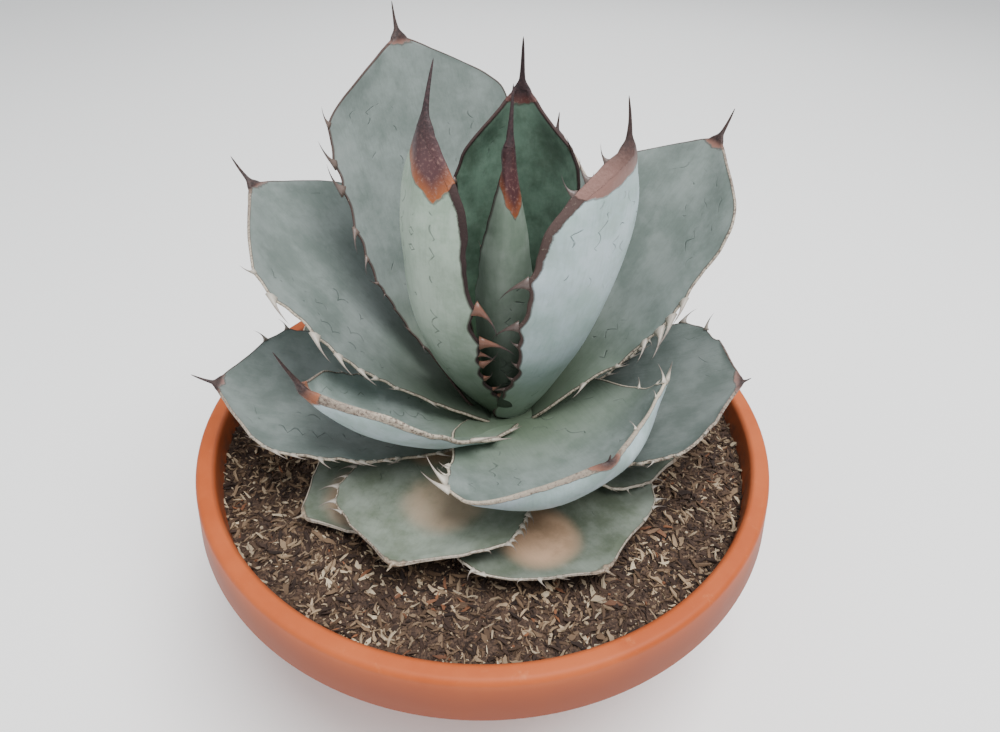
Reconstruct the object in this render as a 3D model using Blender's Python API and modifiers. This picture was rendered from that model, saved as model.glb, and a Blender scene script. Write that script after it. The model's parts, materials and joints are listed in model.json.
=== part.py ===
"""Potted agave: a broad-leaved rosette in a shallow terracotta-coloured bowl pot.

Metres, +Z up. The origin is the middle of the pot's flat base, on the ground.
The plant's own sizes are in millimetres of the plant as it stands, and PLANT_GROWTH
scales all of them together about the soil.
"""
import math

import bmesh
import bpy
from mathutils import Matrix, Vector

MM = 0.001
GAP = 0.3 * MM  # what touching pieces keep between them

# Pot: a moulded bowl whose rim turns over into a hollow band
POT_RIM_DIAMETER = 350 * MM
POT_HEIGHT = 150 * MM
POT_BASE_DIAMETER = 176 * MM
POT_WALL = 3.6 * MM
POT_FLOOR = 4.5 * MM
BASE_CHAMFER = 1.5 * MM
RIM_BAND_HEIGHT = 28 * MM
RIM_BAND_DRAFT = 3 * MM  # how much further out the band stands at its foot
RIM_LIP_WIDTH = 11 * MM
RIM_ROUNDING = 3.5 * MM
BAND_EDGE = 1.2 * MM
DRAIN_HOLES = 6
DRAIN_HOLE_DIAMETER = 11 * MM
DRAIN_CIRCLE_DIAMETER = 112 * MM
ROUND_STEPS = 64
WALL_STEPS = 6

# Soil: it stops below the rim and settles a little towards the wall
SOIL_BELOW_RIM = 13 * MM
SOIL_EDGE_DIP = 3 * MM
SOIL_SHOULDER = 24 * MM  # how wide the settled edge is

# Plant
PLANT_GROWTH = 1.0
PLANT_OFF_CENTRE = 14 * MM
STEM_FOOT_DIAMETER = 52 * MM * PLANT_GROWTH
STEM_TOP_DIAMETER = 14 * MM * PLANT_GROWTH
STEM_HEIGHT = 46 * MM * PLANT_GROWTH
STEM_STEPS = 7
ROOT_CROWN_DEPTH = 34 * MM * PLANT_GROWTH
ROOT_TIP_DIAMETER = 12 * MM * PLANT_GROWTH
LEAF_FOOT_WIDTH = 24 * MM * PLANT_GROWTH
LEAF_TAPER = 1.6                        # 1 runs straight from the widest part to the tip
LEAF_FOOT_THICKNESS = 4.4 * MM * PLANT_GROWTH
LEAF_TIP_THICKNESS = 2.8 * MM * PLANT_GROWTH
SPINE_BASE_DIAMETER = 4.6 * MM * PLANT_GROWTH
UPPER_SHARE = 0.35  # how much of a leaf's thickness lies above its middle surface
BLADE_STATIONS = 10
SPINE_STATIONS = 2
RING_POINTS = 12
CURVE_STEPS = 90

SOIL_TOP = POT_HEIGHT - SOIL_BELOW_RIM
STEM_FOOT = Vector((PLANT_OFF_CENTRE, 0.0, SOIL_TOP))


class Leaf:
    """One leaf: lengths in millimetres of the plant as it stands, angles in degrees."""

    def __init__(self, turn, foot, length, width, rise, tip_rise, cup=25, roll=0, drift=0,
                 late=1.0, spine=22, spine_bend=12, widest=0.56, thick=6.0):
        self.turn = turn              # direction that it grows in, seen from above
        self.foot = foot              # height of its foot above the soil
        self.length = length          # along the midrib, without the spine
        self.width = width            # across, laid flat
        self.rise = rise              # slope of the midrib at the foot
        self.tip_rise = tip_rise      # slope of the midrib at the tip
        self.cup = cup                # how far the margins fold up about the midrib
        self.roll = roll              # turn about the midrib, left margin up
        self.drift = drift            # sideways bend of the midrib
        self.late = late              # above 1, the curl sits towards the tip
        self.spine = spine            # length of the terminal spine
        self.spine_bend = spine_bend  # how far the spine hooks back
        self.widest = widest          # where the blade is widest, as a share of its length
        self.thick = thick            # thickness at the middle of the blade


LEAVES = {
    # heart
    "leaf_01": Leaf(256, 44, 147, 46, 73, 100,
                    cup=80, roll=37, drift=6, late=0.7, spine=30, widest=0.35, thick=5),
    "leaf_02": Leaf(84, 41, 163, 72, 81, 87, cup=50, spine=28, spine_bend=20),
    "leaf_03": Leaf(326, 35, 172, 83, 56, 92,
                    cup=48, roll=-12, drift=2, late=0.85, spine=24, widest=0.5),
    "leaf_04": Leaf(215, 34, 185, 54, 48, 110,
                    cup=42, roll=-24, drift=32, late=1.05, spine=30, widest=0.6),
    # middle tier
    "leaf_05": Leaf(72, 36, 145, 62, 56, 64, cup=50, roll=8, spine=14),
    "leaf_06": Leaf(125, 31.5, 203, 118, 56, 69, cup=20, spine=20, widest=0.62),
    "leaf_07": Leaf(28, 28, 180, 104, 44, 58, cup=20, spine=20, widest=0.6),
    "leaf_09": Leaf(163, 27, 178, 116, 34, 50, cup=20, spine=20, widest=0.6),
    "leaf_10": Leaf(221, 23.5, 126, 88, 16, 66,
                    cup=45, roll=24, drift=-26, late=2.0, spine=28, spine_bend=4),
    "leaf_08": Leaf(300, 25, 120, 140, 6, 86,
                    cup=44, roll=24, drift=-22, late=2.1, spine=15, widest=0.35),
    "leaf_14": Leaf(50, 19, 140, 96, 17, 30, cup=20, spine=14),
    "leaf_13": Leaf(100, 22, 160, 100, 28, 38, cup=20, spine=18),
    "leaf_11": Leaf(357, 17, 120, 125, 5, 35,
                    cup=20, drift=-14, late=0.85, spine=7, widest=0.7),
    "leaf_12": Leaf(185, 16, 150, 112, 4, 24, cup=24, spine=16),
    # outer tier, lying on the soil
    "leaf_15": Leaf(238, 13, 106, 104, 1, 10,
                    cup=14, roll=4, drift=12, late=1.2, spine=8, widest=0.6, thick=5),
    "leaf_16": Leaf(285, 4, 97, 125, -2, 15,
                    cup=10, roll=-4, drift=20, late=1.2, spine=8, widest=0.35, thick=5),
    "leaf_17": Leaf(140, 10, 145, 100, 6, 12, cup=16, spine=14, thick=5),
    "leaf_18": Leaf(342, 11, 80, 84, 0, 3, cup=12, spine=8, thick=5),
    "leaf_19": Leaf(213, 6, 108, 74, -2, 4, cup=12, spine=8, thick=5),
    "leaf_20": Leaf(80, 5, 135, 90, 4, 10, cup=14, spine=10, thick=5),
}


# Leaf geometry

def smooth(share):
    return share * share * (3 - 2 * share)


def blade_half_width(leaf, share):
    """Half width at a share of the blade's length: quick to widen, then drawn to the tip."""
    widest = leaf.width * MM * PLANT_GROWTH / 2
    if share < leaf.widest:
        foot = min(LEAF_FOOT_WIDTH / 2, widest)
        return foot + (widest - foot) * math.sin(share / leaf.widest * math.pi / 2) ** 1.15
    past = (share - leaf.widest) / (1 - leaf.widest)
    tip = SPINE_BASE_DIAMETER / 2
    return tip + (widest - tip) * (1 - past ** LEAF_TAPER) * (1 - 0.15 * past ** 3)


def blade_thickness(leaf, share):
    middle = leaf.thick * MM * PLANT_GROWTH
    full = LEAF_FOOT_THICKNESS + (middle - LEAF_FOOT_THICKNESS) * smooth(min(share / 0.4, 1.0))
    return full + (LEAF_TIP_THICKNESS - full) * share ** 2


def leaf_ring(leaf, middle, across, face, on_blade, on_spine):
    """A ring of points: a cupped lens on the blade, closing to a round on the spine."""
    half = blade_half_width(leaf, on_blade)
    thickness = blade_thickness(leaf, on_blade)
    if on_spine > 0:
        half = SPINE_BASE_DIAMETER / 2 * (1 - 0.8 * on_spine)
        thickness = 2 * half
    cup = math.radians(leaf.cup) * min(1.0, 0.55 + on_blade) * (1 - 0.9 * on_spine)
    ring = []
    for i in range(RING_POINTS):
        angle = 2 * math.pi * i / RING_POINTS
        bend = cup * math.cos(angle)
        side = half * math.sin(bend) / cup
        lift = half * (1 - math.cos(bend)) / cup
        out = face * math.cos(bend) - across * math.sin(bend)
        share = UPPER_SHARE if angle < math.pi else 1 - UPPER_SHARE
        ring.append(middle + across * side + face * lift + out * thickness * share * math.sin(angle))
    return ring


def grow_leaf(leaf, reach):
    """The rings of a leaf whose foot stands a reach away from the stem's axis, and its very tip."""
    turn = math.radians(leaf.turn)
    middle = STEM_FOOT + Vector((0, 0, leaf.foot * MM * PLANT_GROWTH))
    middle = middle + Vector((math.cos(turn), math.sin(turn), 0)) * reach
    total = (leaf.length + leaf.spine) * MM * PLANT_GROWTH
    blade = leaf.length / (leaf.length + leaf.spine)
    marks = [blade * i / (BLADE_STATIONS - 1) for i in range(BLADE_STATIONS)]
    marks += [blade + (1 - blade) * (i + 1) / (SPINE_STATIONS + 1) for i in range(SPINE_STATIONS)]
    rings = []
    for step in range(CURVE_STEPS + 1):
        along = step / CURVE_STEPS
        on_blade = min(along / blade, 1.0)
        on_spine = max((along - blade) / (1 - blade), 0.0)
        slope = leaf.rise + (leaf.tip_rise - leaf.rise) * on_blade ** leaf.late
        slope = math.radians(slope + leaf.spine_bend * on_spine)
        heading = turn + math.radians(leaf.drift) * on_blade
        outward = Vector((math.cos(heading), math.sin(heading), 0))
        forward = outward * math.cos(slope) + Vector((0, 0, math.sin(slope)))
        face = Vector((0, 0, math.cos(slope))) - outward * math.sin(slope)
        across = Vector((-math.sin(heading), math.cos(heading), 0))
        roll = Matrix.Rotation(math.radians(leaf.roll) * smooth(on_blade), 3, forward)
        while len(rings) < len(marks) and along >= marks[len(rings)] - 0.5 / CURVE_STEPS:
            rings.append(leaf_ring(leaf, middle, roll @ across, roll @ face, on_blade, on_spine))
        if step < CURVE_STEPS:
            middle = middle + forward * (total / CURVE_STEPS)
    return rings, middle


def stem_radius(height):
    share = min(max(height / STEM_HEIGHT, 0.0), 1.0)
    return (STEM_FOOT_DIAMETER + (STEM_TOP_DIAMETER - STEM_FOOT_DIAMETER) * share ** 1.2) / 2


def leaf_stations(leaf):
    """A leaf moved out until its foot just clears the stem."""
    reach = stem_radius(leaf.foot * MM * PLANT_GROWTH)
    for attempt in range(8):
        rings, tip = grow_leaf(leaf, reach)
        short = 0.0
        for point in rings[0]:
            away = point - STEM_FOOT
            clear = math.hypot(away[0], away[1]) - stem_radius(away[2])
            short = max(short, GAP - clear)
        if short < 0.02 * MM:
            break
        reach += short
    return rings, tip


# Blender helpers

def clear_scene():
    for thing in list(bpy.data.objects):
        bpy.data.objects.remove(thing, do_unlink=True)


def new_collection(name):
    collection = bpy.data.collections.new(name)
    bpy.context.scene.collection.children.link(collection)
    return collection


def linear(level):
    """One sRGB channel, 0 to 255, as linear light."""
    value = level / 255
    if value <= 0.04045:
        return value / 12.92
    return ((value + 0.055) / 1.055) ** 2.4


def new_material(name, red, green, blue, roughness):
    material = bpy.data.materials.new(name)
    material.use_nodes = True
    shader = material.node_tree.nodes["Principled BSDF"]
    shader.inputs["Base Color"].default_value = (linear(red), linear(green), linear(blue), 1.0)
    shader.inputs["Roughness"].default_value = roughness
    shader.inputs["Metallic"].default_value = 0.0
    return material


def add_object(name, mesh, collection, material=None):
    thing = bpy.data.objects.new(name, mesh)
    collection.objects.link(thing)
    if material:
        mesh.materials.append(material)
    return thing


def turned(name, profile, collection, material=None):
    """A solid spun round Z: (radius, height) points, down the outer side and ending at the axis."""
    mesh = bpy.data.meshes.new(name)
    points = [(radius, 0.0, height) for radius, height in profile]
    edges = [(i, i + 1) for i in range(len(points) - 1)]
    mesh.from_pydata(points, edges, [])
    thing = add_object(name, mesh, collection, material)
    spin = thing.modifiers.new("Spin", "SCREW")
    spin.steps = ROUND_STEPS
    spin.render_steps = ROUND_STEPS
    spin.use_merge_vertices = True
    spin.merge_threshold = 0.00001
    spin.use_smooth_shade = True
    return thing


def cut(thing, cutter):
    """Cut a hidden solid out of a piece."""
    cutter.hide_render = True
    cutter.display_type = "WIRE"
    difference = thing.modifiers.new(cutter.name, "BOOLEAN")
    difference.operation = "DIFFERENCE"
    difference.solver = "EXACT"
    difference.object = cutter


def arc(centre, radius, start, end, steps):
    """(radius, height) points on an arc, from one angle to another in degrees."""
    points = []
    for i in range(steps + 1):
        angle = math.radians(start + (end - start) * i / steps)
        points.append((centre[0] + radius * math.cos(angle), centre[1] + radius * math.sin(angle)))
    return points


# Pot

def lip_outside():
    return POT_RIM_DIAMETER / 2 - RIM_BAND_DRAFT


def lip_inside():
    return lip_outside() - RIM_LIP_WIDTH


def wall_radius(height, inset):
    """The bowl's wall at a height, an inset measured square to the wall in from its outside."""
    low = POT_BASE_DIAMETER / 2
    high = lip_inside() + POT_WALL
    share = min(max(height / POT_HEIGHT, 0.0), 1.0) * math.pi / 2
    flare = (high - low) * math.pi / 2 / POT_HEIGHT * math.cos(share)
    return low + (high - low) * math.sin(share) - inset * math.hypot(1.0, flare)


def inside_heights(floor):
    """Heights up the inside of the wall, from a floor to where the soil meets it."""
    top = SOIL_TOP - SOIL_EDGE_DIP
    return [floor + (top - floor) * i / WALL_STEPS for i in range(WALL_STEPS + 1)]


def build_pot(collection, cutters, material):
    rim = POT_RIM_DIAMETER / 2
    band_foot = POT_HEIGHT - RIM_BAND_HEIGHT
    lip_underside = POT_HEIGHT - POT_WALL
    rounding = POT_HEIGHT - RIM_ROUNDING

    profile = [(0.0, POT_FLOOR)]
    profile += [(wall_radius(height, POT_WALL), height) for height in inside_heights(POT_FLOOR)]
    profile += arc((lip_inside() + RIM_ROUNDING, rounding), RIM_ROUNDING, 180, 90, 3)
    profile += arc((lip_outside() - RIM_ROUNDING, rounding), RIM_ROUNDING, 90, 0, 3)
    profile.append((rim, band_foot + BAND_EDGE))
    profile.append((rim - BAND_EDGE, band_foot))
    profile.append((rim - POT_WALL, band_foot))
    profile.append((lip_outside() - POT_WALL, lip_underside))
    for i in range(WALL_STEPS + 1):
        height = BASE_CHAMFER + (lip_underside - BASE_CHAMFER) * (1 - i / WALL_STEPS)
        profile.append((wall_radius(height, 0.0), height))
    profile.append((wall_radius(0.0, 0.0) - BASE_CHAMFER, 0.0))
    profile.append((0.0, 0.0))
    pot = turned("pot", profile, collection, material)

    holes = bmesh.new()
    for i in range(DRAIN_HOLES):
        turn = 2 * math.pi * (i + 0.5) / DRAIN_HOLES
        place = Vector((math.cos(turn), math.sin(turn), 0)) * (DRAIN_CIRCLE_DIAMETER / 2)
        bmesh.ops.create_cone(holes, cap_ends=True, segments=16, depth=4 * POT_FLOOR,
                              radius1=DRAIN_HOLE_DIAMETER / 2, radius2=DRAIN_HOLE_DIAMETER / 2,
                              matrix=Matrix.Translation(place))
    mesh = bpy.data.meshes.new("drain_holes")
    holes.to_mesh(mesh)
    holes.free()
    cut(pot, add_object("drain_holes", mesh, cutters))


# Soil and stem

def stem_profile(clearance):
    """The stem above the soil and its root crown below, grown outwards by a clearance."""
    profile = [(0.0, STEM_HEIGHT + clearance)]
    for i in range(STEM_STEPS + 1):
        height = STEM_HEIGHT * (1 - i / STEM_STEPS)
        profile.append((stem_radius(height) + clearance, height + clearance * (i == 0)))
    crown = STEM_FOOT_DIAMETER / 2
    tip = ROOT_TIP_DIAMETER / 2
    profile.append((crown + clearance, -ROOT_CROWN_DEPTH * 0.2))
    profile.append((tip + (crown - tip) * 0.6 + clearance, -ROOT_CROWN_DEPTH * 0.65))
    profile.append((tip + clearance, -ROOT_CROWN_DEPTH - clearance))
    profile.append((0.0, -ROOT_CROWN_DEPTH - clearance))
    return profile


def build_stem(collection, material):
    stem = turned("stem", stem_profile(0.0), collection, material)
    stem.location = STEM_FOOT


def build_soil(collection, cutters, material):
    inset = POT_WALL + GAP
    floor = POT_FLOOR + GAP
    heights = inside_heights(floor)
    edge = wall_radius(heights[-1], inset)
    profile = [(0.0, SOIL_TOP), (edge - SOIL_SHOULDER, SOIL_TOP)]
    profile.append((edge - SOIL_SHOULDER / 2, SOIL_TOP - SOIL_EDGE_DIP * 0.35))
    profile += [(wall_radius(height, inset), height) for height in reversed(heights)]
    profile.append((0.0, floor))
    soil = turned("soil", profile, collection, material)
    bed = turned("root_bed", stem_profile(GAP), cutters)
    bed.location = STEM_FOOT
    cut(soil, bed)


# Leaves

def build_leaf(name, leaf, collection, material):
    rings, tip = leaf_stations(leaf)
    shape = bmesh.new()
    rows = [[shape.verts.new(point) for point in ring] for ring in rings]
    end = shape.verts.new(tip)
    foot = shape.verts.new(sum(rings[0], Vector()) / RING_POINTS)
    for i in range(RING_POINTS):
        after = (i + 1) % RING_POINTS
        shape.faces.new((foot, rows[0][after], rows[0][i]))
        for near, far in zip(rows, rows[1:]):
            shape.faces.new((near[i], near[after], far[after], far[i]))
        shape.faces.new((rows[-1][i], rows[-1][after], end))
    bmesh.ops.recalc_face_normals(shape, faces=shape.faces)
    mesh = bpy.data.meshes.new(name)
    shape.to_mesh(mesh)
    shape.free()
    mesh.shade_smooth()
    mesh.set_sharp_from_angle(angle=math.radians(50))
    add_object(name, mesh, collection, material)


def main():
    clear_scene()
    agave = new_collection("potted_agave")
    cutters = new_collection("cutters")
    build_pot(agave, cutters, new_material("terracotta_plastic", 190, 115, 84, 0.55))
    build_soil(agave, cutters, new_material("potting_soil", 60, 46, 36, 0.95))
    build_stem(agave, new_material("stem_tissue", 150, 155, 120, 0.7))
    for name in sorted(LEAVES):
        leaf = LEAVES[name]
        low = leaf.foot * MM < STEM_HEIGHT / 3
        shade = (112, 122, 108) if low else (132, 150, 146)
        build_leaf(name, leaf, agave, new_material(name + "_skin", *shade, 0.6))


if __name__ == "__main__":
    main()
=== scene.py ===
import json
import math
import bmesh
import bpy
import numpy as np
from functools import partial
from mathutils import Matrix, Vector, noise
from mathutils.bvhtree import BVHTree

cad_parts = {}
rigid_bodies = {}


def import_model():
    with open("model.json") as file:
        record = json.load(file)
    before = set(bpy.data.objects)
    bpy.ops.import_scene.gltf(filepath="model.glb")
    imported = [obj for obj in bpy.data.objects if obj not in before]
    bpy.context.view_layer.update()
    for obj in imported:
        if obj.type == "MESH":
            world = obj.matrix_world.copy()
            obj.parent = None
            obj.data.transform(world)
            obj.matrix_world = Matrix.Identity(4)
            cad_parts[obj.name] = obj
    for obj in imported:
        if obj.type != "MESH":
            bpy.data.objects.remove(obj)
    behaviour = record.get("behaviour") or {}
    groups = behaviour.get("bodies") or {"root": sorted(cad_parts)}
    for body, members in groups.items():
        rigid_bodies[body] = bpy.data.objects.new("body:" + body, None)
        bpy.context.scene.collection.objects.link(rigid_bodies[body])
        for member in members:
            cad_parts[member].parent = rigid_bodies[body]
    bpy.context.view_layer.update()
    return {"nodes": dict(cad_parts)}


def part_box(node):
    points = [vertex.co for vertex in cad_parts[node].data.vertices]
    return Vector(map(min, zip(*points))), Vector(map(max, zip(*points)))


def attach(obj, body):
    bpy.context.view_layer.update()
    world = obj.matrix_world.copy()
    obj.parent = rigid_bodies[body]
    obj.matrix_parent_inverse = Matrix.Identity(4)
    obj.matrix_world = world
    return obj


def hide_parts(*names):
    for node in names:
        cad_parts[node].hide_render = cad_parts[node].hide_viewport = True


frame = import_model()
print("frame: %d CAD nodes" % len(frame["nodes"]))

mm = 0.001
Socket = bpy.types.NodeSocket
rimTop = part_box("pot")[1].z
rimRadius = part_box("pot")[1].x
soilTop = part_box("soil")[1].z
stemLow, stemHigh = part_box("stem")
stemMiddle = (stemLow + stemHigh) / 2


# Small helpers

def hexColour(code):
    # an sRGB hex colour as linear RGBA
    levels = [int(code[i:i + 2], 16) / 255 for i in (0, 2, 4)]
    linear = [v / 12.92 if v <= 0.04045 else ((v + 0.055) / 1.055) ** 2.4 for v in levels]
    return (*linear, 1.0)


def plug(node, inputs):
    # the inputs of a node: a link where a socket is given, otherwise the value
    for name, value in inputs.items():
        if isinstance(value, Socket):
            node.id_data.links.new(value, node.inputs[name])
        else:
            node.inputs[name].default_value = value
    return node


def addNode(tree, kind, inputs=None, **settings):
    # one node, with its settings, its values and its links
    node = tree.nodes.new(kind)
    for name, value in settings.items():
        setattr(node, name, value)
    return plug(node, inputs or {})


def treeOf(*values):
    # the node tree of the first socket among the values
    return next(v.id_data for v in values if isinstance(v, Socket))


def maths(operation, *values, clamp=False):
    inputs = dict(enumerate(values))
    node = addNode(treeOf(*values), "ShaderNodeMath", inputs, operation=operation, use_clamp=clamp)
    return node.outputs[0]


times = partial(maths, "MULTIPLY")
scaled = partial(maths, "MULTIPLY_ADD")
plus = partial(maths, "ADD")
minus = partial(maths, "SUBTRACT")


def blend(share, first, second, mode="MIX"):
    # two colours mixed by a share; each is a socket or a hex colour
    inputs = {0: share, 6: first, 7: second}
    inputs = {n: hexColour(v) if isinstance(v, str) else v for n, v in inputs.items()}
    tree = treeOf(share, first, second)
    return addNode(tree, "ShaderNodeMix", inputs, data_type="RGBA", blend_type=mode).outputs[2]


def ease(value, low, high):
    # 0 below low and 1 above high, smoothly; with low above high it falls instead
    inputs = {0: value, 1: low, 2: high, 3: 0.0, 4: 1.0}
    node = addNode(treeOf(value), "ShaderNodeMapRange", inputs, interpolation_type="SMOOTHSTEP")
    return node.outputs[0]


def grain(where, size, detail=3.0, rough=0.5):
    # a noise whose blotches are about that size, in metres
    inputs = {"Vector": where, "Scale": 1 / size, "Detail": detail, "Roughness": rough}
    return addNode(treeOf(where), "ShaderNodeTexNoise", inputs).outputs[0]


def relief(height, strength, distance, **more):
    inputs = {"Height": height, "Strength": strength, "Distance": distance, **more}
    return addNode(treeOf(height), "ShaderNodeBump", inputs).outputs[0]


def attribute(tree, name):
    return addNode(tree, "ShaderNodeAttribute", attribute_name=name).outputs["Fac"]


def ownPlace(tree):
    return addNode(tree, "ShaderNodeTexCoord").outputs["Object"]


def newMesh(name, points, faces, edges=()):
    mesh = bpy.data.meshes.new(name)
    mesh.from_pydata(points, edges, faces)
    return mesh


def setValues(mesh, name, values):
    # one number for each point
    mesh.attributes.new(name, "FLOAT", "POINT").data.foreach_set("value", values)


def lattice(rows, sides):
    # the quads of a tube with that many points round each row
    quads = []
    for i in range(rows - 1):
        low, high = i * sides, (i + 1) * sides
        for j in range(sides):
            k = (j + 1) % sides
            quads.append((low + j, low + k, high + k, high + j))
    return quads


def newMaterial(name):
    material = bpy.data.materials.new(name)
    material.use_nodes = True
    return material, material.node_tree, material.node_tree.nodes["Principled BSDF"]


def addPiece(name, mesh, material=None):
    piece = bpy.data.objects.new(name, mesh)
    bpy.context.scene.collection.objects.link(piece)
    if material:
        mesh.materials.clear()
        mesh.materials.append(material)
    return piece


def plainMesh(piece, name):
    # what the modifiers make, as a mesh of its own; the modifiers go
    shown = piece.evaluated_get(bpy.context.evaluated_depsgraph_get())
    mesh = bpy.data.meshes.new_from_object(shown)
    mesh.name = name
    piece.modifiers.clear()
    piece.data = mesh
    return piece


def unit(vectors):
    return vectors / (np.linalg.norm(vectors, axis=-1, keepdims=True) + 1e-12)


def smoothStep(value):
    value = np.clip(value, 0.0, 1.0)
    return value * value * (3 - 2 * value)


# Camera and light

view = {
    "eye": (0.0, -0.33143, 0.45810),
    "turn": (51.184, -1.001, -0.675),
    "lens": 26.0,
    "sensor": 36.0,
}
lights = {
    "sky": (0.94, 0.97, 1.0),
    "skyStrength": 0.62,
    "keyPower": 62.0,
    "fillPower": 9.0,
}


def placeCamera():
    data = bpy.data.cameras.new("camera")
    data.lens = view["lens"]
    data.sensor_width = view["sensor"]
    data.clip_start = 0.01
    camera = bpy.data.objects.new("camera", data)
    bpy.context.scene.collection.objects.link(camera)
    camera.location = view["eye"]
    camera.rotation_euler = [math.radians(a) for a in view["turn"]]
    bpy.context.scene.camera = camera


def placeLight(name, place, power, size, aim=(0.0, 0.0, 0.15), colour=(1.0, 1.0, 1.0)):
    data = bpy.data.lights.new(name, "AREA")
    data.energy = power
    data.size = size
    data.color = colour
    lamp = bpy.data.objects.new(name, data)
    bpy.context.scene.collection.objects.link(lamp)
    lamp.location = place
    lamp.rotation_euler = (Vector(aim) - Vector(place)).to_track_quat("-Z", "Y").to_euler()


def lightStudio():
    world = bpy.data.worlds.new("studio")
    bpy.context.scene.world = world
    world.use_nodes = True
    background = world.node_tree.nodes["Background"]
    background.inputs["Color"].default_value = (*lights["sky"], 1.0)
    background.inputs["Strength"].default_value = lights["skyStrength"]
    placeLight("key", (0.45, -0.35, 1.9), lights["keyPower"], 1.2)
    placeLight("fill", (-1.3, -0.6, 1.2), lights["fillPower"], 1.4)
    placeLight("back", (0.2, 1.5, 1.2), lights["fillPower"], 1.4)


def layFloor():
    # matt off-white paper
    mesh = newMesh("floor", [(-4, -4, 0), (4, -4, 0), (4, 4, 0), (-4, 4, 0)], [(0, 1, 2, 3)])
    material, _, shader = newMaterial("matt paper backdrop")
    plug(shader, {"Base Color": hexColour("F8F8F7"), "Roughness": 0.9})
    floor = addPiece("floor", mesh, material)
    floor.location.z = -0.0005


placeCamera()
lightStudio()
layFloor()
print("studio set")


# Bowl pot

bowl = {
    "wall": 3.6 * mm,
    "floor": 4.5 * mm,
    "baseRadius": 88 * mm,
    "baseRounding": 1.5 * mm,
    "bandHeight": 28 * mm,
    "bandDraft": 3 * mm,
    "lipWidth": 11 * mm,
    "rounding": 3.5 * mm,
    "bandEdge": 1.2 * mm,
    "drainHoles": 6,
    "drainRadius": 5.5 * mm,
    "drainCircle": 56 * mm,
    "steps": 224,
}


def bowlRadius(height, inset):
    high = rimRadius - bowl["bandDraft"] - bowl["lipWidth"] + bowl["wall"]
    low = bowl["baseRadius"]
    share = min(max(height / rimTop, 0.0), 1.0) * math.pi / 2
    flare = (high - low) * math.pi / 2 / rimTop * math.cos(share)
    return low + (high - low) * math.sin(share) - inset * math.hypot(1.0, flare)


def arcPoints(centre, radius, start, end, steps):
    angles = [math.radians(start + (end - start) * i / steps) for i in range(steps + 1)]
    return [(centre[0] + radius * math.cos(a), centre[1] + radius * math.sin(a)) for a in angles]


def bowlProfile():
    # from the middle of the floor, up inside, over the lip, down the band and the outside
    lipOut = rimRadius - bowl["bandDraft"]
    lipIn = lipOut - bowl["lipWidth"]
    soft = bowl["rounding"]
    edge = bowl["bandEdge"]
    foot = rimTop - bowl["bandHeight"]
    under = rimTop - bowl["wall"]
    wallTop = rimTop - soft - 1 * mm
    points = [(0.0, bowl["floor"])]
    points += [(bowlRadius(h, bowl["wall"]), h) for h in np.linspace(bowl["floor"], wallTop, 26)]
    points += arcPoints((lipIn + soft, rimTop - soft), soft, 180, 90, 8)[1:]
    points += arcPoints((lipOut - soft, rimTop - soft), soft, 90, 6, 8)
    points += arcPoints((rimRadius - edge, foot + edge), edge, 0, -90, 5)
    points += arcPoints((rimRadius - bowl["wall"] + 0.4 * mm, foot + 0.4 * mm), 0.4 * mm, 270, 180, 2)
    points += [(lipOut - bowl["wall"], under)]
    points += [(bowlRadius(h, 0.0), h) for h in np.linspace(under, bowl["baseRounding"], 30)]
    base = bowlRadius(0.0, 0.0)
    points += [(base - 0.4 * mm, 0.4 * mm), (base - bowl["baseRounding"], 0.0), (0.0, 0.0)]
    return points


def mouldedPlastic():
    # injection moulded polypropylene, terracotta pigment: a fine matt skin, faint flow mottle, pale
    # scuffs with a painted highlight on the lip top, soil dust and painted shade on the inside wall,
    # and painted shade on the outer band and lower down the bowl
    material, tree, shader = newMaterial("terracotta moulded polypropylene")
    where = ownPlace(tree)
    split = addNode(tree, "ShaderNodeSeparateXYZ", {0: where})
    height = split.outputs[2]
    across = times(split.outputs[0], split.outputs[0])
    depth = times(split.outputs[1], split.outputs[1])
    radius = maths("SQRT", plus(across, depth))
    mottle = grain(where, 45 * mm, 4.0, 0.6)
    colour = blend(ease(mottle, 0.35, 0.7), "A34A1E", "B0562A")
    # pale scuffs all over, much stronger on the top of the lip as a painted highlight
    scuff = ease(grain(where, 9 * mm, 6.0, 0.7), 0.58, 0.8)
    lip = ease(height, rimTop - 3 * mm, rimTop - 0.5 * mm)
    colour = blend(times(scuff, scaled(lip, 0.35, 0.12)), colour, "C67C52")
    # soil dust in patches on the inside wall, over an even painted shade across the whole inside
    dust = ease(grain(where, 14 * mm, 5.0, 0.65), 0.36, 0.66)
    low = ease(height, rimTop - 4 * mm, rimTop - 12 * mm)
    dustAndShade = times(attribute(tree, "inside"), scaled(times(dust, low), 0.5, 0.3))
    colour = blend(dustAndShade, colour, "5A3F33")
    # painted shade: the outside darker lower down the bowl and across the rim's outer band
    shade = ease(height, rimTop - 31 * mm, rimTop - 90 * mm)
    colour = blend(times(shade, 0.35), colour, "8A421F")
    outer = ease(radius, rimRadius - 4 * mm, rimRadius - 1 * mm)
    paintedBandShade = times(outer, ease(height, rimTop - 1 * mm, rimTop - 7 * mm))
    colour = blend(times(paintedBandShade, 0.75), colour, "76300D")
    fine = relief(grain(where, 0.9 * mm, 2.0), 0.12, 0.2 * mm)
    wave = relief(grain(where, 30 * mm, 2.0), 0.25, 1.5 * mm, Normal=fine)
    plug(shader, {"Base Color": colour, "Roughness": scaled(mottle, 0.16, 0.48), "IOR": 1.49,
                  "Specular IOR Level": 0.3, "Normal": wave})
    return material


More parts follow.
